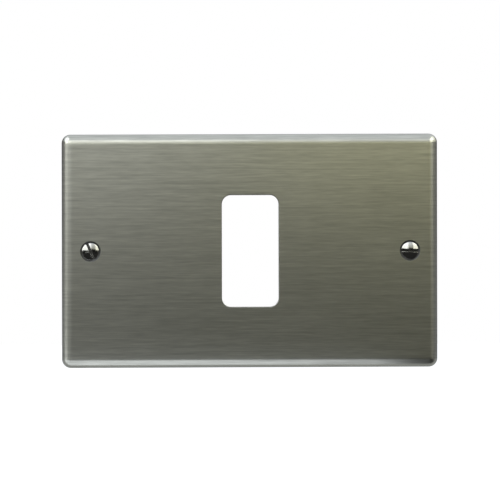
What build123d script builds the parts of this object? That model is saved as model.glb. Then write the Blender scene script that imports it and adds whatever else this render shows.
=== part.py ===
from build123d import *

import os
from math import cos, radians, sin, tan

# Front plate for one grid switch module, with its two fixing screws, in millimetres.
# Seen from the front, X runs to the right and Z up, and the face looks along -Y.
# The origin is the middle of the plate, on the plane of the rear rim that lies against the wall.
# Each piece is drawn flat, with its front towards local +Z and the wall plane at z = 0, and is
# then stood up on this plane.
upright = Plane.XZ

# Pressed steel front plate
plate_width = 141.6
plate_height = 87.8
plate_depth = 4.5  # front face to rear rim
sheet_thickness = 1.0
edge_bend_radius = 3.2  # outside of the turned edge
face_corner_radius = 0.1  # corners of the flat front, inside the turned edge

# Punched aperture for the switch module
aperture_width = 21.4
aperture_height = 42.0
aperture_corner_radius = 3.4
punched_edge_radius = 0.25  # front edge of the aperture, rolled over by the punch

# Pressed countersinks for the fixing screws
fixing_edge_distance = 10.5  # screw axis to the side edge, which sets the screws 120.6 apart
countersink_angle = 90.0
countersink_margin = 0.45  # mouth of the countersink round the screw head
countersink_lip_radius = 0.35  # mouth of the countersink, where the sheet turns inwards
screw_hole_clearance = 0.35  # hole round the thread

# Fixing screws with slotted raised countersunk heads
thread_diameter = 3.5
screw_length = 25.0  # edge of the head to the tip
head_diameter = 6.6
head_land = 0.25  # straight edge of the head
dome_height = 0.67
neck_diameter = 3.1  # plain stretch between the head and the thread
neck_length = 1.0
thread_lead_in = 0.25  # cone from the neck up to the thread
tip_chamfer = 0.5
slot_width = 1.1
slot_depth = 1.2  # below the top of the dome
left_slot_angle = 113.0  # anticlockwise from +X, seen from the front
right_slot_angle = -2.5
seat_clearance = 0.05  # between the head's cone and the countersink

# Sizes that follow from those above
fixing_centres = plate_width - 2 * fixing_edge_distance
half_angle = radians(countersink_angle / 2)
head_radius = head_diameter / 2
hole_radius = thread_diameter / 2 + screw_hole_clearance
mouth_radius = head_radius + countersink_margin
countersink_depth = (mouth_radius - hole_radius) / tan(half_angle)
countersink_root_radius = countersink_lip_radius + sheet_thickness


def filleted_block(width, height, depth, bend_radius):
    """A block with rounded corners, whose front edge is rounded by the bend radius."""
    outline = RectangleRounded(width, height, face_corner_radius + bend_radius)
    block = extrude(outline, depth)
    front = block.faces().sort_by(Axis.Z)[-1]
    return fillet(front.edges(), bend_radius)


def pressed_tray():
    """The sheet with its edges turned back all round, open at the rear."""
    outside = filleted_block(plate_width, plate_height, plate_depth, edge_bend_radius)
    inside = filleted_block(
        plate_width - 2 * sheet_thickness,
        plate_height - 2 * sheet_thickness,
        plate_depth - sheet_thickness,
        edge_bend_radius - sheet_thickness,
    )
    return outside - inside


def countersink_boss():
    """The back of one countersink: the sheet pressed to a cone, keeping its thickness."""
    depth = countersink_depth + sheet_thickness * sin(half_angle)
    end_radius = hole_radius + sheet_thickness * cos(half_angle)
    root_radius = end_radius + (depth - sheet_thickness) * tan(half_angle)
    with BuildPart() as boss:
        with BuildSketch(Plane.XZ):
            with BuildLine():
                Polyline(
                    (0, plate_depth - depth),
                    (end_radius, plate_depth - depth),
                    (root_radius, plate_depth - sheet_thickness),
                    (root_radius, plate_depth - sheet_thickness / 2),
                    (0, plate_depth - sheet_thickness / 2),
                    close=True,
                )
            make_face()
        revolve(axis=Axis.Z)
    return boss.part


def countersunk_hole():
    """The space that the countersink and the screw hole take out of the plate."""
    with BuildPart() as hole:
        with BuildSketch(Plane.XZ):
            with BuildLine():
                Polyline(
                    (0, 0),
                    (hole_radius, 0),
                    (hole_radius, plate_depth - countersink_depth),
                    (mouth_radius, plate_depth),
                    (0, plate_depth),
                    close=True,
                )
            make_face()
        revolve(axis=Axis.Z)
    return hole.part


def front_openings(plate):
    """The closed edges of the openings in the flat front, from left to right."""
    front = plate.faces().sort_by(Axis.Z)[-1]
    return front.inner_wires().sort_by(Axis.X)


def front_plate():
    """The pressed tray with its two countersinks and the aperture."""
    fixings = Locations((-fixing_centres / 2, 0), (fixing_centres / 2, 0))
    plate = pressed_tray() + fixings * countersink_boss()
    sheet_back = plate.faces().filter_by(Plane.XY).sort_by(Axis.Z)[-2]
    boss_roots = [edge for wire in sheet_back.inner_wires() for edge in wire.edges()]
    plate = fillet(boss_roots, countersink_root_radius)

    plate -= extrude(RectangleRounded(aperture_width, aperture_height, aperture_corner_radius), plate_depth)
    [aperture_edge] = front_openings(plate)
    plate = fillet(aperture_edge.edges(), punched_edge_radius)

    plate -= fixings * countersunk_hole()
    left_mouth, _, right_mouth = front_openings(plate)
    return fillet(left_mouth.edges() + right_mouth.edges(), countersink_lip_radius)


def fixing_screw(slot_angle):
    """One screw on the local Z axis, seated in its countersink."""
    seat_radius = mouth_radius - seat_clearance / cos(half_angle)
    cone_top = plate_depth - (seat_radius - head_radius) / tan(half_angle)
    head_edge = cone_top + head_land
    dome_top = head_edge + dome_height
    neck_radius = neck_diameter / 2
    neck_top = cone_top - (head_radius - neck_radius) / tan(half_angle)
    neck_end = neck_top - neck_length
    thread_radius = thread_diameter / 2
    tip = head_edge - screw_length
    with BuildPart() as screw:
        with BuildSketch(Plane.XZ):
            with BuildLine():
                TangentArc((0, dome_top), (head_radius, head_edge), tangent=(1, 0))
                Polyline(
                    (head_radius, head_edge),
                    (head_radius, cone_top),
                    (neck_radius, neck_top),
                    (neck_radius, neck_end),
                    (thread_radius, neck_end - thread_lead_in),
                    (thread_radius, tip + tip_chamfer),
                    (thread_radius - tip_chamfer, tip),
                    (0, tip),
                    (0, dome_top),
                )
            make_face()
        revolve(axis=Axis.Z)
        with BuildSketch(Plane.XY.offset(dome_top)):
            Rectangle(2 * mouth_radius, slot_width, rotation=slot_angle)
        extrude(amount=-slot_depth, mode=Mode.SUBTRACT)
    return screw.part


def fixing_screws():
    """Both screws, on the fixing centres, with their slots as they were left."""
    left = Pos(-fixing_centres / 2, 0) * fixing_screw(left_slot_angle)
    right = Pos(fixing_centres / 2, 0) * fixing_screw(right_slot_angle)
    return Compound([left, right])


pieces = {
    "front_plate": front_plate(),
    "fixing_screws": fixing_screws(),
}

os.makedirs("parts", exist_ok=True)
for name, piece in pieces.items():
    export_step(upright * piece, f"parts/{name}.step")
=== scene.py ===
from math import asin, copysign, cos, hypot, pi, radians, sin, tan

import bmesh
import bpy
from mathutils import Matrix, Vector


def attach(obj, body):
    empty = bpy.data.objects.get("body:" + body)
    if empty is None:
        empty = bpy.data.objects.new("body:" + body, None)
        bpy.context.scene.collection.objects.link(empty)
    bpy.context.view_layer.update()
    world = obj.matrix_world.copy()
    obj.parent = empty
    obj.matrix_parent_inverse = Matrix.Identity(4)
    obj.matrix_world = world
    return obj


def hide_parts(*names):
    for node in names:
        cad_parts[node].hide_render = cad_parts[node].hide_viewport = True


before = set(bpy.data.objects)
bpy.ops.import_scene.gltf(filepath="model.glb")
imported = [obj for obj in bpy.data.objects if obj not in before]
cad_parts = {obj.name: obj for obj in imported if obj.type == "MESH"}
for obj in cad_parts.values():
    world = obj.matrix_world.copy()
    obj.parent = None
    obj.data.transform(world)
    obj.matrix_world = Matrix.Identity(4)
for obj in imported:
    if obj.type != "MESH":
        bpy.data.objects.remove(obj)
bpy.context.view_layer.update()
scene = bpy.context.scene
scene.view_settings.view_transform = "Standard"
print("frame:", ", ".join(sorted(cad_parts)))

mm = 0.001  # sizes of pieces and materials are in millimetres, and only the studio's are in metres
near = 1e-3  # mm, points this close to a line or a level are on it
weld = 1e-4  # mm, points this close are one
flatFace = 0.9999  # how far along Y the normal of a flat front or back points, at least
smoothAngle = radians(28)  # edges are shaded smooth below this
sharpAngle = radians(40)  # and cut edges are rounded above this


def addNode(tree, kind, **settings):
    node = tree.nodes.new(kind)
    for name, value in settings.items():
        setattr(node, name, value)
    return node


def setInputs(node, **values):
    for name, value in values.items():
        node.inputs[name.replace("_", " ")].default_value = value
    return node


def newMaterial(name, viewColour):
    material = bpy.data.materials.new(name)
    material.use_nodes = True
    material.diffuse_color = (*viewColour, 1)
    tree = material.node_tree
    return material, tree, tree.nodes["Principled BSDF"]


def newGroup(name, inputs, outputs):
    group = bpy.data.node_groups.new(name, "ShaderNodeTree")
    for way, sockets in (("INPUT", inputs), ("OUTPUT", outputs)):
        for label, kind in sockets.items():
            group.interface.new_socket(label, in_out=way, socket_type=kind)
    return group, addNode(group, "NodeGroupInput"), addNode(group, "NodeGroupOutput")


def calc(tree, operation, a, b=None):
    node = addNode(tree, "ShaderNodeMath", operation=operation)
    for socket, value in zip(node.inputs, (a, b)):
        if hasattr(value, "links"):
            tree.links.new(value, socket)
        elif value is not None:
            socket.default_value = value
    return node.outputs[0]


# so much of one value and so much of another
def weigh(tree, a, b, shares):
    return calc(tree, "ADD", calc(tree, "MULTIPLY", a, shares[0]), calc(tree, "MULTIPLY", b, shares[1]))


def vectorMath(tree, operation, a, b):
    node = addNode(tree, "ShaderNodeVectorMath", operation=operation)
    tree.links.new(a, node.inputs[0])
    tree.links.new(b, node.inputs[1])
    return node.outputs[0]


def splitAxes(tree, vector):
    node = addNode(tree, "ShaderNodeSeparateXYZ")
    tree.links.new(vector, node.inputs[0])
    return node.outputs


def addNoise(tree, vector, detail, roughness):
    node = setInputs(addNode(tree, "ShaderNodeTexNoise"), Scale=1.0, Detail=detail, Roughness=roughness)
    tree.links.new(vector, node.inputs["Vector"])
    return node.outputs["Fac"]


# marks along the first coordinate, in millimetres: a fine grain, and strokes that are longer and broader
strokeKinds = {
    "Grain": {"longer": 1.0, "wider": 1.0, "detail": 2.0},
    "Stroke": {"longer": 4.0, "wider": 2.0, "detail": 3.0},
}
strokeRoughness = 0.6


def makeStrokes():
    group, given, result = newGroup(
        "strokes",
        {"Vector": "NodeSocketVector", "Length": "NodeSocketFloat", "Width": "NodeSocketFloat"},
        {label: "NodeSocketFloat" for label in strokeKinds},
    )
    axes = splitAxes(group, given.outputs["Vector"])
    for label, kind in strokeKinds.items():
        length = calc(group, "MULTIPLY", given.outputs["Length"], kind["longer"])
        width = calc(group, "MULTIPLY", given.outputs["Width"], kind["wider"])
        joined = addNode(group, "ShaderNodeCombineXYZ")
        for axis, size in (("X", length), ("Y", width), ("Z", width)):
            group.links.new(calc(group, "DIVIDE", axes[axis], size), joined.inputs[axis])
        marks = addNoise(group, joined.outputs[0], kind["detail"], strokeRoughness)
        group.links.new(marks, result.inputs[label])
    return group


# broad uneven patches left by handling and wiping
hazeDetail = 4.0
hazeRoughness = 0.55


def makeHaze():
    group, given, result = newGroup(
        "haze",
        {"Vector": "NodeSocketVector", "Size": "NodeSocketFloat"},
        {"Haze": "NodeSocketFloat"},
    )
    scaled = vectorMath(group, "DIVIDE", given.outputs["Vector"], given.outputs["Size"])
    group.links.new(addNoise(group, scaled, hazeDetail, hazeRoughness), result.inputs["Haze"])
    return group


strokes = makeStrokes()
haze = makeHaze()


def place(tree, group, vector, **values):
    node = setInputs(addNode(tree, "ShaderNodeGroup", node_tree=group), **values)
    tree.links.new(vector, node.inputs["Vector"])
    return node.outputs


noiseRange = (0.3, 0.7)  # nearly all of a noise lies between these


def spread(tree, socket, low, high):
    node = addNode(tree, "ShaderNodeMapRange")
    setInputs(node, From_Min=noiseRange[0], From_Max=noiseRange[1], To_Min=low, To_Max=high)
    tree.links.new(socket, node.inputs["Value"])
    return node.outputs[0]


def blend(tree, factor, first, second):
    node = addNode(tree, "ShaderNodeMix", data_type="RGBA")
    tree.links.new(factor, node.inputs["Factor"])
    for label, value in (("A", first), ("B", second)):
        [socket] = [s for s in node.inputs if s.name == label and s.type == "RGBA"]
        if hasattr(value, "links"):
            tree.links.new(value, socket)
        else:
            socket.default_value = (*value, 1)
    return [s for s in node.outputs if s.type == "RGBA"][0]


def bump(tree, height, distance, strength, under=None):
    node = setInputs(addNode(tree, "ShaderNodeBump"), Strength=strength, Distance=distance)
    tree.links.new(height, node.inputs["Height"])
    if under:
        tree.links.new(under, node.inputs["Normal"])
    return node.outputs[0]


def colourBy(tree, shader, noise, dark, light):
    tree.links.new(blend(tree, spread(tree, noise, 0.0, 1.0), dark, light), shader.inputs["Base Color"])


def roughenBy(tree, shader, noise, roughness):
    tree.links.new(spread(tree, noise, *roughness), shader.inputs["Roughness"])


def objectInMm(tree):
    node = setInputs(addNode(tree, "ShaderNodeVectorMath", operation="SCALE"), Scale=1 / mm)
    tree.links.new(addNode(tree, "ShaderNodeTexCoord").outputs["Object"], node.inputs[0])
    return node.outputs[0]


# sheet brushed along its length, on the outside of the plate
brushed = {
    "dark": (0.4, 0.4, 0.352),
    "light": (0.63, 0.63, 0.554),
    "roughness": (0.275, 0.281),
    "anisotropy": 0.15,
    "turn": 0.25,  # of the highlight, as a share of a full turn
    "strokeLength": 9.0,
    "strokeWidth": 0.66,
    "hazeSize": 26.0,
    "toneShares": (0.5, 0.5),  # grain and strokes, in the colour and the scratches
    "wearShares": (0.6, 0.4),  # strokes and haze, in the roughness
    "scratchDepth": 0.02,
    "scratchStrength": 0.12,
    "bowRadius": 7500.0,  # the shading bows the front very slightly from top to bottom
}


def makeBrushed():
    material, tree, shader = newMaterial("brushedSteel", brushed["light"])
    grain = addNode(tree, "ShaderNodeUVMap", uv_map="grain").outputs[0]
    marks = place(tree, strokes, grain, Length=brushed["strokeLength"], Width=brushed["strokeWidth"])
    patches = place(tree, haze, grain, Size=brushed["hazeSize"])
    tone = weigh(tree, marks["Grain"], marks["Stroke"], brushed["toneShares"])
    wear = weigh(tree, marks["Stroke"], patches["Haze"], brushed["wearShares"])
    colourBy(tree, shader, tone, brushed["dark"], brushed["light"])
    roughenBy(tree, shader, wear, brushed["roughness"])
    upright = splitAxes(tree, grain)["Y"]
    sag = calc(tree, "DIVIDE", calc(tree, "MULTIPLY", upright, upright), -2 * brushed["bowRadius"])
    bowed = bump(tree, sag, mm, 1.0)
    scratched = bump(tree, tone, brushed["scratchDepth"] * mm, brushed["scratchStrength"], bowed)
    tree.links.new(scratched, shader.inputs["Normal"])
    tangent = addNode(tree, "ShaderNodeTangent", direction_type="UV_MAP", uv_map="grain")
    tree.links.new(tangent.outputs[0], shader.inputs["Tangent"])
    setInputs(shader, Metallic=1.0, Anisotropic=brushed["anisotropy"], Anisotropic_Rotation=brushed["turn"])
    return material


# the sheet as it left the mill, on the inside of the plate, and a darker copy of it in the pressed
# countersinks, as painted shade round the screw heads
mill = {
    "dark": (0.44, 0.44, 0.42),
    "light": (0.54, 0.54, 0.52),
    "roughness": (0.34, 0.46),
    "strokeLength": 20.0,
    "strokeWidth": 0.9,
    "hazeSize": 14.0,
    "scratchDepth": 0.02,
    "scratchStrength": 0.15,
    # the countersinks' colour is scaled down by this share: painted shade round the screw heads
    "countersinkPaintedShade": 0.22,
    "pressedRoughness": (0.4, 0.55),
}


def makeMill(name, roughness, shade):
    dark, light = ([shade * c for c in mill[tone]] for tone in ("dark", "light"))
    material, tree, shader = newMaterial(name, light)
    grain = addNode(tree, "ShaderNodeUVMap", uv_map="grain").outputs[0]
    marks = place(tree, strokes, grain, Length=mill["strokeLength"], Width=mill["strokeWidth"])
    patches = place(tree, haze, grain, Size=mill["hazeSize"])
    colourBy(tree, shader, patches["Haze"], dark, light)
    roughenBy(tree, shader, patches["Haze"], roughness)
    scratched = bump(tree, marks["Grain"], mill["scratchDepth"] * mm, mill["scratchStrength"])
    tree.links.new(scratched, shader.inputs["Normal"])
    setInputs(shader, Metallic=1.0)
    return material


# bare edges where the punch and the shear went through
cutEdge = {
    "viewColour": (0.5, 0.5, 0.48),
    "dark": (0.22, 0.22, 0.2),
    "light": (0.4, 0.4, 0.37),
    "roughness": (0.28, 0.5),
    "hazeSize": 0.5,
    "tearDepth": 0.04,
    "tearStrength": 0.4,
}


def makeCutEdge():
    material, tree, shader = newMaterial("cutEdge", cutEdge["viewColour"])
    patches = place(tree, haze, objectInMm(tree), Size=cutEdge["hazeSize"])
    colourBy(tree, shader, patches["Haze"], cutEdge["dark"], cutEdge["light"])
    roughenBy(tree, shader, patches["Haze"], cutEdge["roughness"])
    torn = bump(tree, patches["Haze"], cutEdge["tearDepth"] * mm, cutEdge["tearStrength"])
    tree.links.new(torn, shader.inputs["Normal"])
    setInputs(shader, Metallic=1.0)
    return material


# bright nickel, with the fine rings that turning leaves round each screw's axis
nickel = {
    "dark": (0.46, 0.455, 0.425),
    "light": (0.53, 0.525, 0.49),
    "roughness": (0.1, 0.16),
    "threadRoughness": (0.22, 0.36),
    "slotRoughness": (0.15, 0.24),
    "ringLength": 50.0,
    "ringWidth": 0.12,
    "hazeSize": 1.6,
    "glossShares": (0.5, 0.5),  # rings and haze, in the roughness
    "reliefShares": (0.04, 1.0),  # and in the relief
    "threadReliefShares": (0.1, 1.0),
    "reliefDepth": 0.03,
    "reliefStrength": 0.6,
}


def makeNickel(name, roughness, reliefShares):
    material, tree, shader = newMaterial(name, nickel["light"])
    here = objectInMm(tree)
    axes = splitAxes(tree, here)
    sideways = calc(tree, "SUBTRACT", calc(tree, "ABSOLUTE", axes["X"]), plate["fixings"])
    squareX = calc(tree, "MULTIPLY", sideways, sideways)
    squareZ = calc(tree, "MULTIPLY", axes["Z"], axes["Z"])
    rings = addNode(tree, "ShaderNodeCombineXYZ")
    tree.links.new(calc(tree, "SQRT", calc(tree, "ADD", squareX, squareZ)), rings.inputs["Y"])
    tree.links.new(axes["Y"], rings.inputs["Z"])
    turned = place(tree, strokes, rings.outputs[0], Length=nickel["ringLength"], Width=nickel["ringWidth"])
    patches = place(tree, haze, here, Size=nickel["hazeSize"])
    colourBy(tree, shader, patches["Haze"], nickel["dark"], nickel["light"])
    gloss = weigh(tree, turned["Grain"], patches["Haze"], nickel["glossShares"])
    roughenBy(tree, shader, gloss, roughness)
    relief = weigh(tree, turned["Grain"], patches["Haze"], reliefShares)
    uneven = bump(tree, relief, nickel["reliefDepth"] * mm, nickel["reliefStrength"])
    tree.links.new(uneven, shader.inputs["Normal"])
    setInputs(shader, Metallic=1.0)
    return material


def finishPiece(bm, name, materials, node):
    bm.normal_update()
    for face in bm.faces:
        face.smooth = True
    for edge in bm.edges:
        edge.smooth = len(edge.link_faces) == 2 and edge.calc_face_angle(0) < smoothAngle
    loose = sum(1 for edge in bm.edges if len(edge.link_faces) != 2)
    print(f"{name}: {len(bm.faces)} faces, {loose} edges not closed")
    bmesh.ops.scale(bm, vec=(mm, mm, mm), verts=bm.verts[:])
    mesh = bpy.data.meshes.new(name)
    bm.to_mesh(mesh)
    bm.free()
    for material in materials:
        mesh.materials.append(material)
    piece = bpy.data.objects.new(name, mesh)
    scene.collection.objects.link(piece)
    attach(piece, "root")
    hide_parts(node)
    return piece


def roundEdges(bm, edges, size, steps):
    return bmesh.ops.bevel(
        bm,
        geom=edges,
        offset=size,
        offset_type="OFFSET",
        segments=steps,
        profile=0.5,
        affect="EDGES",
        material=-1,
        clamp_overlap=True,
    )


# edges with both ends in a place
def edgesWhere(bm, test):
    return [e for e in bm.edges if all(test(v.co) for v in e.verts)]


# ends of edges that are in a place, from left to right, so that every run has them in one order
def endsWhere(edges, test):
    found = {v for e in edges for v in e.verts if test(v.co)}
    return sorted(found, key=lambda v: v.co.x)


def sharpEdges(edges):
    return [e for e in edges if e.calc_face_angle(0) > sharpAngle]


def wires(bm):
    return [e for e in bm.edges if e.is_wire]


plate = {
    "width": 141.6,
    "height": 87.8,
    "depth": 4.5,  # front face to rear rim
    "sheet": 1.0,
    "corner": 3.3,
    "cornerSteps": 10,
    "bend": 3.2,
    "bendSteps": 12,
    "crown": 0.014,  # the flat front stands this far proud of the bends
    "crownWidth": 0.6,
    "aperture": (21.4, 42.0),
    "apertureCorner": 3.4,
    "apertureSteps": 10,
    "apertureRing": 1.5,  # ring of faces kept round the aperture
    "rollOver": 0.25,  # front edge of the aperture
    "rollSteps": 4,
    "fixings": 60.3,  # screw axes, left and right of the middle
    "mouth": 3.75,  # radii of the countersinks and their holes
    "lip": 0.35,
    "lipSteps": 4,
    "hole": 2.1,
    "collar": 5.0,  # ring of faces kept round each countersink
    "countersinkSteps": 64,
    "burr": 0.05,  # the other cut edges
    "burrSteps": 2,
}
front = -plate["depth"]
brushedFace, millFace, cutFace, paintedShadeFace = range(4)  # places in the plate's list of materials


def onFront(co):
    return abs(co.y - front) < near


# distance outside the edge of the aperture
def pastAperture(co):
    r = plate["apertureCorner"]
    wide, high = plate["aperture"]
    return hypot(max(abs(co.x) - wide / 2 + r, 0), max(abs(co.z) - high / 2 + r, 0)) - r


def roundedLoop(bm, width, height, corner, steps):
    upright = Matrix.Translation((0, front, 0)) @ Matrix.Rotation(pi / 2, 4, "X")
    size = Matrix.Diagonal((width, height, 1, 1))
    made = bmesh.ops.create_grid(bm, x_segments=1, y_segments=2, size=0.5, matrix=upright @ size)
    corners = [v for v in made["verts"] if len(v.link_faces) == 1]
    turned = bmesh.ops.bevel(
        bm,
        geom=corners,
        offset=corner,
        offset_type="OFFSET",
        segments=steps,
        profile=0.5,
        affect="VERTICES",
        material=-1,
    )
    blanks = dict.fromkeys(f for v in turned["verts"] for f in v.link_faces)
    bmesh.ops.delete(bm, geom=list(blanks), context="FACES_ONLY")
    # the line across the middle goes, and its two end points stay
    middle = [e for e in wires(bm) if abs(e.verts[0].co.x - e.verts[1].co.x) > width - near]
    bmesh.ops.delete(bm, geom=middle, context="EDGES")


# a block with its edges rounded and its back open, and a low step up to the flat front
def turnEdges(bm):
    shoulder = front + plate["crown"]
    size = Matrix.Diagonal((plate["width"], -shoulder, plate["height"], 1))
    bmesh.ops.create_cube(bm, size=1.0, matrix=Matrix.Translation((0, shoulder / 2, 0)) @ size)
    corners = [e for e in bm.edges if abs(e.verts[0].co.y - e.verts[1].co.y) > near]
    roundEdges(bm, corners, plate["corner"], plate["cornerSteps"])
    bm.normal_update()
    bmesh.ops.delete(bm, geom=[f for f in bm.faces if f.normal.y > flatFace], context="FACES_ONLY")
    [face] = [f for f in bm.faces if f.normal.y < -flatFace]
    roundEdges(bm, list(face.edges), plate["bend"], plate["bendSteps"])
    everything = bm.verts[:] + bm.edges[:] + bm.faces[:]
    bmesh.ops.bisect_plane(bm, geom=everything, dist=weld, plane_co=(0, 0, 0), plane_no=(0, 0, 1))
    bm.normal_update()
    bmesh.ops.delete(bm, geom=[f for f in bm.faces if f.normal.y < -flatFace], context="FACES")
    start = [e for e in edgesWhere(bm, lambda co: abs(co.y - shoulder) < near) if e.is_boundary]
    less = 2 * (plate["bend"] + plate["crownWidth"])
    corner = plate["corner"] - plate["bend"]
    roundedLoop(bm, plate["width"] - less, plate["height"] - less, corner, plate["cornerSteps"])
    bmesh.ops.bridge_loops(bm, edges=start + wires(bm))


def countersink(bm, x):
    profile = [(plate["collar"], 0), (plate["mouth"], 0), (plate["hole"], plate["mouth"] - plate["hole"])]
    points = [bm.verts.new((x + r, front + deep, 0)) for r, deep in profile]
    lines = [bm.edges.new(pair) for pair in zip(points, points[1:])]
    bmesh.ops.spin(
        bm,
        geom=points + lines,
        cent=(x, 0, 0),
        axis=(0, 1, 0),
        angle=2 * pi,
        steps=plate["countersinkSteps"],
        use_merge=True,
    )
    mouth = edgesWhere(bm, lambda co: onFront(co) and abs(hypot(co.x - x, co.z) - plate["mouth"]) < near)
    roundEdges(bm, mouth, plate["lip"] * tan(pi / 8), plate["lipSteps"])  # a turn of 45 degrees


# aperture and countersinks, each with a ring of faces, and the flat front between them in two halves
def openFront(bm):
    wide, high = plate["aperture"]
    ring = plate["apertureRing"]
    for more in (0, ring):
        corner = plate["apertureCorner"] + more
        roundedLoop(bm, wide + 2 * more, high + 2 * more, corner, plate["apertureSteps"])
    bmesh.ops.bridge_loops(bm, edges=wires(bm))
    for x in (-plate["fixings"], plate["fixings"]):
        countersink(bm, x)
    around = edgesWhere(bm, lambda co: onFront(co) and pastAperture(co) > ring / 2)
    flat = [e for e in around if e.is_boundary]
    onLine = endsWhere(flat, lambda co: abs(co.z) < near)
    links = [bm.edges.new(onLine[i : i + 2]) for i in range(0, len(onLine), 2)]
    for side in (-1, 1):
        half = [e for e in flat if side * (e.verts[0].co.z + e.verts[1].co.z) > 0]
        bmesh.ops.contextual_create(bm, geom=half + links)
    bmesh.ops.recalc_face_normals(bm, faces=bm.faces[:])


def thicken(bm):
    outside = bm.faces[:]
    shell = bmesh.ops.solidify(bm, geom=outside, thickness=plate["sheet"])
    for f in bm.faces:
        f.material_index = cutFace
    for f in shell["geom"]:
        if isinstance(f, bmesh.types.BMFace):
            f.material_index = millFace
    bm.normal_update()
    for f in outside:
        here = f.calc_center_median()
        fromAxis = max(abs(abs(here.x) - plate["fixings"]), abs(here.z))
        # faces in the countersinks take the darkened copy of the mill finish, painted shade round the screw
        # heads
        sunk = f.normal.y > -flatFace and fromAxis < plate["collar"]
        f.material_index = paintedShadeFace if sunk else brushedFace


# the sheet ends in a slant at the end of each countersink, and the hole goes straight through it
def drillHoles(bm):
    low = plate["mouth"] - plate["hole"]
    thick = plate["sheet"] * cos(pi / 4)  # the cone stands at 45 degrees
    slack = 0.05  # mm
    slanted = []
    for e in bm.edges:
        reach = sorted(hypot(abs(v.co.x) - plate["fixings"], v.co.z) for v in e.verts)
        deep = sorted(v.co.y - front for v in e.verts)
        atEnd = abs(reach[0] - plate["hole"]) < slack and abs(deep[0] - low) < slack
        if atEnd and min(reach[1] - reach[0], deep[1] - deep[0]) > thick / 2:
            slanted.append(e)
    halved = bmesh.ops.subdivide_edges(bm, edges=slanted, cuts=1)
    for v in halved["geom_inner"]:
        if isinstance(v, bmesh.types.BMVert):
            x = copysign(plate["fixings"], v.co.x)
            away = Vector((v.co.x - x, 0, v.co.z)).normalized() * plate["hole"]
            v.co = (x + away.x, front + low + thick, away.z)


# the punch rolls the front of the aperture over; the other cut edges only lose their sharpness
def rollEdges(bm):
    punched = edgesWhere(bm, lambda co: onFront(co) and pastAperture(co) < plate["apertureRing"] / 2)
    rolled = roundEdges(bm, sharpEdges(punched), plate["rollOver"], plate["rollSteps"])
    for f in rolled["faces"]:
        f.material_index = cutFace
    bm.normal_update()
    roundEdges(bm, sharpEdges(bm.edges), plate["burr"], plate["burrSteps"])


# the grain's map follows the sheet round its edges
def mapGrain(bm):
    grain = bm.loops.layers.uv.new("grain")
    bm.normal_update()
    slack = 0.01  # mm
    bendX = plate["width"] / 2 - plate["bend"] - slack
    bendZ = plate["height"] / 2 - plate["bend"] - slack
    for f in bm.faces:
        sideways = abs(f.normal.x) > abs(f.normal.z)
        for loop in f.loops:
            x, y, z = loop.vert.co
            if sideways and abs(x) > bendX:
                x += copysign(y - front, x)
            elif not sideways and abs(z) > bendZ:
                z += copysign(y - front, z)
            loop[grain].uv = (x, z)


def makePlate():
    bm = bmesh.new()
    turnEdges(bm)
    openFront(bm)
    thicken(bm)
    drillHoles(bm)
    rollEdges(bm)
    mapGrain(bm)
    return bm


screw = {
    "head": 3.3,  # radii
    "neck": 1.55,
    "crest": 1.75,
    "root": 1.38,
    "coneTop": 0.379,  # behind the front of the plate
    "land": 0.25,
    "dome": 0.67,
    "domeSteps": 10,
    "headRim": 0.17,  # rounding of the head's front and back edges
    "coneRim": 0.05,
    "rimSteps": 4,
    "neckLength": 1.0,
    "length": 25.0,
    "pitch": 0.6,
    "flank": 30.0,  # degrees
    "turnSteps": 28,
    "leadIn": 0.25,
    "neckGap": 0.05,  # the thread's first ring stands this far behind the neck
    "tipChamfer": 0.5,
    "slotWidth": 1.1,
    "slotDepth": 1.2,
    "slotEdge": 0.05,
    "slotEdgeSteps": 2,
    "slotAngles": (113.0, -2.5),  # left and right, anticlockwise seen from the front
    "steps": 72,
}
brightFace, threadFace, slotFace = range(3)  # places in the screws' list of materials

# levels along Y
coneTop = front + screw["coneTop"]
headEdge = coneTop - screw["land"]
domeTop = headEdge - screw["dome"]
slotBed = domeTop + screw["slotDepth"]
neckTop = coneTop + screw["head"] - screw["neck"]
neckEnd = neckTop + screw["neckLength"]
tip = headEdge + screw["length"]


def cutThrough(bm, faces, point, normal, **clear):
    verts = dict.fromkeys(v for f in faces for v in f.verts)
    edges = dict.fromkeys(e for f in faces for e in f.edges)
    geom = [*verts, *edges, *faces]
    bmesh.ops.bisect_plane(bm, geom=geom, dist=weld, plane_co=point, plane_no=normal, **clear)


# half an outline, its dome swung from one point, turned about the axis
def turnHead(bm):
    ball = (screw["head"] ** 2 + screw["dome"] ** 2) / (2 * screw["dome"])  # radius of the dome
    bmesh.ops.spin(
        bm,
        geom=[bm.verts.new((0, domeTop, 0))],
        cent=(0, domeTop + ball, 0),
        axis=(0, 0, 1),
        angle=asin(screw["head"] / ball),
        steps=screw["domeSteps"],
    )
    last = max(bm.verts, key=lambda v: v.co.x)
    for r, y in ((screw["head"], coneTop), (screw["neck"], neckTop), (screw["neck"], neckEnd)):
        point = bm.verts.new((r, y, 0))
        bm.edges.new((last, point))
        last = point
    outline = bm.verts[:] + bm.edges[:]
    bmesh.ops.spin(bm, geom=outline, axis=(0, 1, 0), angle=2 * pi, steps=screw["steps"], use_merge=True)
    bmesh.ops.remove_doubles(bm, verts=bm.verts[:], dist=weld)
    bmesh.ops.recalc_face_normals(bm, faces=bm.faces[:])
    for y, size in ((headEdge, screw["headRim"]), (coneTop, screw["coneRim"])):
        rim = edgesWhere(bm, lambda co: abs(hypot(co.x, co.z) - screw["head"]) + abs(co.y - y) < near)
        roundEdges(bm, rim, size, screw["rimSteps"])


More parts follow.
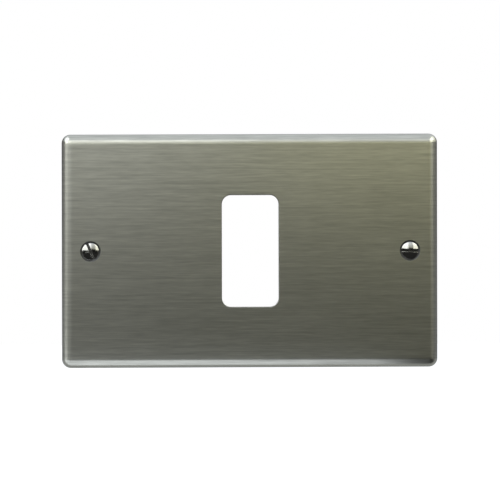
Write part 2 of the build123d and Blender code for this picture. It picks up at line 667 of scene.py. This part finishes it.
# slot across the head, along X for now
def cutSlot(bm):
    half = screw["slotWidth"] / 2
    cutThrough(bm, bm.faces[:], (0, slotBed, 0), (0, 1, 0))
    for side in (-half, half):
        above = [f for f in bm.faces if f.calc_center_median().y < slotBed]
        cutThrough(bm, above, (0, 0, side), (0, 0, 1))
    middles = {f: f.calc_center_median() for f in bm.faces}
    gone = [f for f, here in middles.items() if here.y < slotBed and abs(here.z) < half]
    bmesh.ops.delete(bm, geom=gone, context="FACES")
    for side in (-half, half):
        wall = edgesWhere(bm, lambda co: abs(co.z - side) < near and co.y < slotBed + near)
        wall = [e for e in wall if e.is_boundary]
        wall.append(bm.edges.new(endsWhere(wall, lambda co: abs(co.y - slotBed) < near)))
        bmesh.ops.contextual_create(bm, geom=wall)
    bottom = edgesWhere(bm, lambda co: abs(co.y - slotBed) < near and abs(co.z) < half + near)
    bmesh.ops.contextual_create(bm, geom=[e for e in bottom if e.is_boundary])
    bmesh.ops.recalc_face_normals(bm, faces=bm.faces[:])
    bm.normal_update()
    lips = sharpEdges(edgesWhere(bm, lambda co: abs(abs(co.z) - half) < near))
    lips = [e for e in lips if min(v.co.y for v in e.verts) < slotBed - near]
    roundEdges(bm, lips, screw["slotEdge"], screw["slotEdgeSteps"])


# one pitch of thread swept down the screw, then trimmed to the lead-in and the chamfered tip
def makeThread():
    bm = bmesh.new()
    pitch = screw["pitch"]
    crestWidth = pitch / 8
    rise = (screw["crest"] - screw["root"]) * tan(radians(screw["flank"]))
    bed = pitch - crestWidth - 2 * rise
    profile = [
        (screw["root"], 0),
        (screw["root"], bed),
        (screw["crest"], bed + rise),
        (screw["crest"], bed + rise + crestWidth),
        (screw["root"], pitch),
    ]
    points = [bm.verts.new((r, neckEnd - pitch + along, 0)) for r, along in profile]
    lines = [bm.edges.new(pair) for pair in zip(points, points[1:])]
    turns = int((tip - neckEnd) / pitch) + 3
    bmesh.ops.spin(
        bm,
        geom=points + lines,
        axis=(0, 1, 0),
        dvec=(0, pitch / screw["turnSteps"], 0),
        angle=2 * pi * turns,
        steps=turns * screw["turnSteps"],
    )
    bmesh.ops.remove_doubles(bm, verts=bm.verts[:], dist=near)
    slope = (screw["crest"] - screw["neck"]) / screw["leadIn"]
    for v in bm.verts:
        r = hypot(v.co.x, v.co.z)
        most = min(
            screw["neck"] + max(0, v.co.y - neckEnd) * slope,
            screw["crest"] - screw["tipChamfer"] + max(0, tip - v.co.y),
        )
        if r > most:
            v.co.x *= most / r
            v.co.z *= most / r
    cutThrough(bm, bm.faces[:], (0, neckEnd + screw["neckGap"], 0), (0, 1, 0), clear_inner=True)
    cutThrough(bm, bm.faces[:], (0, tip, 0), (0, 1, 0), clear_outer=True)
    rim = [e for e in bm.edges if e.is_boundary and e.verts[0].co.y > tip - near]
    bmesh.ops.contextual_create(bm, geom=rim)
    mesh = bpy.data.meshes.new("thread")
    bm.to_mesh(mesh)
    bm.free()
    return mesh


def makeScrews():
    bm = bmesh.new()
    turnHead(bm)
    cutSlot(bm)
    thread = makeThread()
    bm.from_mesh(thread)
    bpy.data.meshes.remove(thread)
    bmesh.ops.bridge_loops(bm, edges=[e for e in bm.edges if e.is_boundary])  # from the neck to the thread
    bmesh.ops.recalc_face_normals(bm, faces=bm.faces[:])
    slack = 0.01  # mm
    for f in bm.faces:
        here = f.calc_center_median()
        if here.y > neckEnd:
            f.material_index = threadFace
        elif abs(here.z) < screw["slotWidth"] / 2 + slack and here.y < slotBed + slack:
            f.material_index = slotFace
        else:
            f.material_index = brightFace

    # the second screw is a copy, and each is left at its own angle
    copied = bmesh.ops.duplicate(bm, geom=bm.verts[:] + bm.edges[:] + bm.faces[:])
    right = [v for v in copied["geom"] if isinstance(v, bmesh.types.BMVert)]
    isRight = set(right)
    left = [v for v in bm.verts if v not in isRight]
    places = (-plate["fixings"], plate["fixings"])
    for verts, x, angle in zip((left, right), places, screw["slotAngles"]):
        bmesh.ops.rotate(bm, verts=verts, cent=(0, 0, 0), matrix=Matrix.Rotation(-radians(angle), 3, "Y"))
        bmesh.ops.translate(bm, verts=verts, vec=(x, 0, 0))
    return bm


frontPlate = finishPiece(
    makePlate(),
    "frontPlate",
    [
        makeBrushed(),
        makeMill("millFinish", mill["roughness"], 1.0),
        makeCutEdge(),
        # a darkened copy of the mill finish for the countersinks, as painted shade
        makeMill("paintedShadeSteel", mill["pressedRoughness"], mill["countersinkPaintedShade"]),
    ],
    "front_plate",
)
weighted = frontPlate.modifiers.new("weightedNormals", "WEIGHTED_NORMAL")
weighted.keep_sharp = True
finishPiece(
    makeScrews(),
    "fixingScrews",
    [
        makeNickel("brightNickel", nickel["roughness"], nickel["reliefShares"]),
        makeNickel("threadNickel", nickel["threadRoughness"], nickel["threadReliefShares"]),
        makeNickel("slotNickel", nickel["slotRoughness"], nickel["reliefShares"]),
    ],
    "fixing_screws",
)


# metres and degrees
studio = {
    "azimuth": -4.2,  # the camera stands a little to the left of the plate
    "elevation": 1.2,
    "roll": -0.12,
    "distance": 9.0,
    "frameWidth": 0.1882,  # what the picture spans at the plate
    "aim": (-0.000125, -0.0045, 0.00036),
    "sensor": 36.0,  # mm
    "farthest": 20.0,
    "floorCentre": (0, 1.488, -0.11),
    "floorSize": (6.0, 3.0),
    "floorColour": (0.35, 0.35, 0.35, 1),
    "floorGlow": 0.85,  # makes the floor white to the camera
}


def makeCamera():
    data = bpy.data.cameras.new("camera")
    data.sensor_width = studio["sensor"]
    data.lens = studio["sensor"] * studio["distance"] / studio["frameWidth"]
    data.clip_end = studio["farthest"]
    camera = bpy.data.objects.new("camera", data)
    scene.collection.objects.link(camera)
    az, el = radians(studio["azimuth"]), radians(studio["elevation"])
    away = Vector((sin(az) * cos(el), -cos(az) * cos(el), sin(el)))
    turn = (-away).to_track_quat("-Z", "Y").to_matrix() @ Matrix.Rotation(radians(studio["roll"]), 3, "Z")
    stand = Vector(studio["aim"]) + away * studio["distance"]
    camera.matrix_world = Matrix.Translation(stand) @ turn.to_4x4()
    scene.camera = camera


tints = {
    "sky": (0.95, 1.0, 1.1),
    "cool": (0.98, 1.0, 0.99),
    "soft": (1.0, 1.0, 0.86),
    "warm": (1.0, 0.97, 0.56),
}

# centre, width and height, direction, radiance and tint of each panel of light
panels = {
    "sideBox": ((-0.9, -0.45, 0.9), (0.5, 1.6), (0.9, 0.45, 0), 2.6, "cool"),
    "leftBox": ((-0.345, -0.56, 0.282), (0.71, 0.444), (0, 1, 0), 1.85, "cool"),
    "leftSill": ((-0.18, -0.56, -0.045), (0.24, 0.03), (0, 1, 0), 0.5, "cool"),
    "leftKey": ((-0.7, 0.0, 0.7), (0.8, 0.8), (0.7, 0, -0.7), 1.1, "sky"),
    "wallBand": ((0.135, -0.42, 0.077), (0.21, 0.066), (0, 1, 0), 1.28, "warm"),
    "wallPanel": ((0.11, -0.42, 0.19), (0.204, 0.22), (0, 1, 0), 0.45, "soft"),
    "rightBox": ((0.56, -0.56, 0.35), (0.56, 0.56), (0, 1, 0), 1.72, "soft"),
    "rightWall": ((0.45, 0.0, 0.38), (0.6, 0.6), (-1, 0, 0), 0.8, "soft"),
    "rightKey": ((0.75, -0.4, 0.75), (0.6, 0.6), (-0.75, 0.4, -0.75), 1.55, "soft"),
    "lowBox": ((-0.07, -0.017, -0.047), (0.28, 0.026), (0, 0, 1), 1.05, "sky"),
}
lowBoxFade = [(0.0, 0.05), (0.03, 0.15), (0.075, 0.58), (0.2, 0.85), (0.35, 1.0)]  # along its length


# the camera does not see the panels
def makePanel(name, centre, size, facing, radiance, tint):
    data = bpy.data.lights.new(name, "AREA")
    data.shape = "RECTANGLE"
    data.size, data.size_y = size
    data.energy = radiance * pi * size[0] * size[1]
    data.color = tints[tint]
    lamp = bpy.data.objects.new(name, data)
    lamp.location = centre
    lamp.rotation_euler = Vector(facing).to_track_quat("-Z", "Y").to_euler()
    lamp.visible_camera = False
    scene.collection.objects.link(lamp)
    return lamp


def greys(stops, tint=(1, 1, 1)):
    return [(at, [value * c for c in tint]) for at, value in stops]


def ramp(tree, socket, stops):
    node = addNode(tree, "ShaderNodeValToRGB")
    bar = node.color_ramp
    while len(bar.elements) < len(stops):
        bar.elements.new(0.5)
    for element, (at, colour) in zip(bar.elements, stops):
        element.position = at
        element.color = (*colour, 1)
    tree.links.new(socket, node.inputs["Fac"])
    return node.outputs["Color"]


def fade(lamp, stops):
    lamp.data.use_nodes = True
    tree = lamp.data.node_tree
    along = splitAxes(tree, addNode(tree, "ShaderNodeNewGeometry").outputs["Parametric"])["X"]
    tree.links.new(ramp(tree, along, greys(stops)), tree.nodes["Emission"].inputs["Color"])


def makePanels():
    lamps = {name: makePanel(name, *panel) for name, panel in panels.items()}
    fade(lamps["lowBox"], lowBoxFade)
    plateOnly = bpy.data.collections.new("plateOnly")  # the warm band is kept off the polished screws
    plateOnly.objects.link(frontPlate)
    lamps["wallBand"].light_linking.receiver_collection = plateOnly


# what the metal reflects round the panels: how bright, from 0 to 1 of the way along each axis
surround = {
    "room": [(0.0, 0.025), (0.38, 0.028), (0.48, 0.005), (0.6, 0.01)],  # from below
    "sky": [(0.7, 0.3), (0.8, 0.9)],
    "flanks": [(0.1, 0.0), (0.3, 0.36), (0.5, 0.34), (0.7, 0.24), (0.9, 0.1)],  # from the front
    "flanksAbove": [(0.1, 0.0), (0.4, 1.0)],  # from below
    "flanksAcross": [(0.0, 1.0), (1.0, 0.45)],  # from the left
}


# white is for the camera: the metal shows the darker studio
def seenByCamera(tree):
    path = addNode(tree, "ShaderNodeLightPath")
    return calc(tree, "MAXIMUM", path.outputs["Is Camera Ray"], path.outputs["Is Transmission Ray"])


def makeWorld():
    world = bpy.data.worlds.new("studio")
    scene.world = world
    world.use_nodes = True
    tree = world.node_tree
    axes = splitAxes(tree, addNode(tree, "ShaderNodeTexCoord").outputs["Generated"])
    across, back, height = (calc(tree, "MULTIPLY", calc(tree, "ADD", axes[a], 1.0), 0.5) for a in "XYZ")
    room = ramp(tree, height, greys(surround["room"]) + greys(surround["sky"], tints["sky"]))
    flanks = ramp(tree, back, greys(surround["flanks"]))
    flanks = vectorMath(tree, "MULTIPLY", flanks, ramp(tree, height, greys(surround["flanksAbove"])))
    flanks = vectorMath(tree, "MULTIPLY", flanks, ramp(tree, across, greys(surround["flanksAcross"])))
    both = vectorMath(tree, "MAXIMUM", room, flanks)
    shown = blend(tree, seenByCamera(tree), both, (1, 1, 1))
    tree.links.new(shown, tree.nodes["Background"].inputs["Color"])


def makeFloor():
    bm = bmesh.new()
    lay = Matrix.Translation(studio["floorCentre"]) @ Matrix.Diagonal((*studio["floorSize"], 1, 1))
    bmesh.ops.create_grid(bm, x_segments=1, y_segments=1, size=0.5, matrix=lay)
    mesh = bpy.data.meshes.new("floor")
    bm.to_mesh(mesh)
    bm.free()
    floor = bpy.data.objects.new("floor", mesh)
    scene.collection.objects.link(floor)
    material = bpy.data.materials.new("paleFloor")
    material.use_nodes = True
    tree = material.node_tree
    tree.nodes.clear()
    matt = setInputs(addNode(tree, "ShaderNodeBsdfDiffuse"), Color=studio["floorColour"])
    glow = addNode(tree, "ShaderNodeEmission")
    tree.links.new(calc(tree, "MULTIPLY", seenByCamera(tree), studio["floorGlow"]), glow.inputs["Strength"])
    both = addNode(tree, "ShaderNodeAddShader")
    tree.links.new(matt.outputs[0], both.inputs[0])
    tree.links.new(glow.outputs[0], both.inputs[1])
    tree.links.new(both.outputs[0], addNode(tree, "ShaderNodeOutputMaterial").inputs["Surface"])
    mesh.materials.append(material)


makeCamera()
makePanels()
makeWorld()
makeFloor()
print(f"studio: camera, {len(panels)} panels, world, floor")
